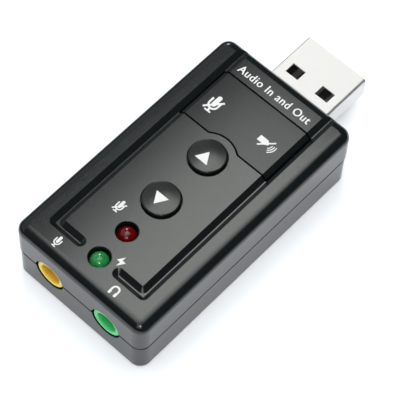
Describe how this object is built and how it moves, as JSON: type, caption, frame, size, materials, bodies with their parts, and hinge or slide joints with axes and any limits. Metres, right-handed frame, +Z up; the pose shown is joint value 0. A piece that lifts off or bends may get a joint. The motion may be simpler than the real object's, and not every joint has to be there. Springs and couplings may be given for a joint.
{
  "type": "usb sound card",
  "caption": "Small black USB sound adapter: a USB plug at one end, microphone and headphone jacks at the other, volume buttons, a rocking mute key and status lights on top.",
  "frame": {"origin": "centre of the case's underside", "axes": "+X across the case towards the headphone jack, +Y along the case towards the USB plug, +Z up"},
  "size_m": [0.026, 0.0587, 0.0139],
  "materials": {
    "case_plastic": "moulded, satin black",
    "button_plastic": "moulded, semi-gloss black",
    "green_lens": "cast, tinted green",
    "red_lens": "cast, tinted red",
    "plug_steel": "nickel plated",
    "plug_plastic": "moulded black",
    "microphone_plastic": "moulded, yellow",
    "headphone_plastic": "moulded, green",
    "contact_brass": "plated",
    "tinned_wire": "tinned",
    "switch_steel": "stamped",
    "switch_plastic": "moulded black",
    "board_laminate": "glass-epoxy laminate with green coating",
    "chip_resin": "moulded resin",
    "crystal_can": "drawn can",
    "capacitor_can": "drawn can",
    "chip_ceramic": "fired ceramic"
  },
  "bodies": {
    "case": {"audio_chip": "chip_resin", "audio_chip_leads": "tinned_wire", "bottom_cover": "case_plastic", "chip_capacitors": "chip_ceramic", "chip_resistors": "chip_resin", "circuit_board": "board_laminate", "crystal": "crystal_can", "headphone_jack_housing": "headphone_plastic", "headphone_jack_ring_contact": "contact_brass", "headphone_jack_sleeve_contact": "contact_brass", "headphone_jack_tip_contact": "contact_brass", "microphone_jack_housing": "microphone_plastic", "microphone_jack_ring_contact": "contact_brass", "microphone_jack_sleeve_contact": "contact_brass", "microphone_jack_tip_contact": "contact_brass", "microphone_mute_switch_base": "switch_plastic", "microphone_mute_switch_cover": "switch_steel", "microphone_mute_switch_dome": "switch_steel", "microphone_mute_switch_terminals": "tinned_wire", "mute_led_leads": "tinned_wire", "mute_led_lens": "red_lens", "output_capacitor": "capacitor_can", "power_led_leads": "tinned_wire", "power_led_lens": "green_lens", "speaker_mute_switch_base": "switch_plastic", "speaker_mute_switch_cover": "switch_steel", "speaker_mute_switch_dome": "switch_steel", "speaker_mute_switch_terminals": "tinned_wire", "supply_capacitor": "capacitor_can", "top_cover": "case_plastic", "usb_contact_data_minus": "contact_brass", "usb_contact_data_plus": "contact_brass", "usb_contact_ground": "contact_brass", "usb_contact_power": "contact_brass", "usb_plug_insulator": "plug_plastic", "usb_plug_shell": "plug_steel", "volume_down_switch_base": "switch_plastic", "volume_down_switch_cover": "switch_steel", "volume_down_switch_dome": "switch_steel", "volume_down_switch_terminals": "tinned_wire", "volume_up_switch_base": "switch_plastic", "volume_up_switch_cover": "switch_steel", "volume_up_switch_dome": "switch_steel", "volume_up_switch_terminals": "tinned_wire"},
    "volume_up": {"volume_up_button": "button_plastic", "volume_up_switch_plunger": "switch_plastic"},
    "volume_down": {"volume_down_button": "button_plastic", "volume_down_switch_plunger": "switch_plastic"},
    "mute_key": {"mute_key": "case_plastic"},
    "microphone_mute_plunger": {"microphone_mute_switch_plunger": "switch_plastic"},
    "speaker_mute_plunger": {"speaker_mute_switch_plunger": "switch_plastic"}
  },
  "joints": [
    {"name": "volume_up_press", "type": "slide", "parent": "case", "child": "volume_up", "axis": [0, 0, -1], "range_m": [0, 0.00025], "stiffness_N_per_m": 6000, "springref_m": -0.0001, "deforming": ["volume_up_switch_dome"]},
    {"name": "volume_down_press", "type": "slide", "parent": "case", "child": "volume_down", "axis": [0, 0, -1], "range_m": [0, 0.00025], "stiffness_N_per_m": 6000, "springref_m": -0.0001, "deforming": ["volume_down_switch_dome"]},
    {"name": "mute_key_rock", "type": "hinge", "parent": "case", "child": "mute_key", "pos_m": [0, 0.01305, 0.0104], "axis": [0, 1, 0], "range_deg": [-1.2, 1.2]},
    {"name": "microphone_mute_press", "type": "slide", "parent": "case", "child": "microphone_mute_plunger", "axis": [0, 0, -1], "range_m": [-0.000119, 0.000119], "stiffness_N_per_m": 12000, "deforming": ["microphone_mute_switch_dome"]},
    {"name": "speaker_mute_press", "type": "slide", "parent": "case", "child": "speaker_mute_plunger", "axis": [0, 0, -1], "range_m": [-0.000119, 0.000119], "deforming": ["speaker_mute_switch_dome"]}
  ],
  "couplings": [
    {"joint": "mute_key_rock", "follows": "microphone_mute_press", "rad_per_m": -175.44},
    {"joint": "speaker_mute_press", "follows": "microphone_mute_press", "ratio": -1}
  ]
}
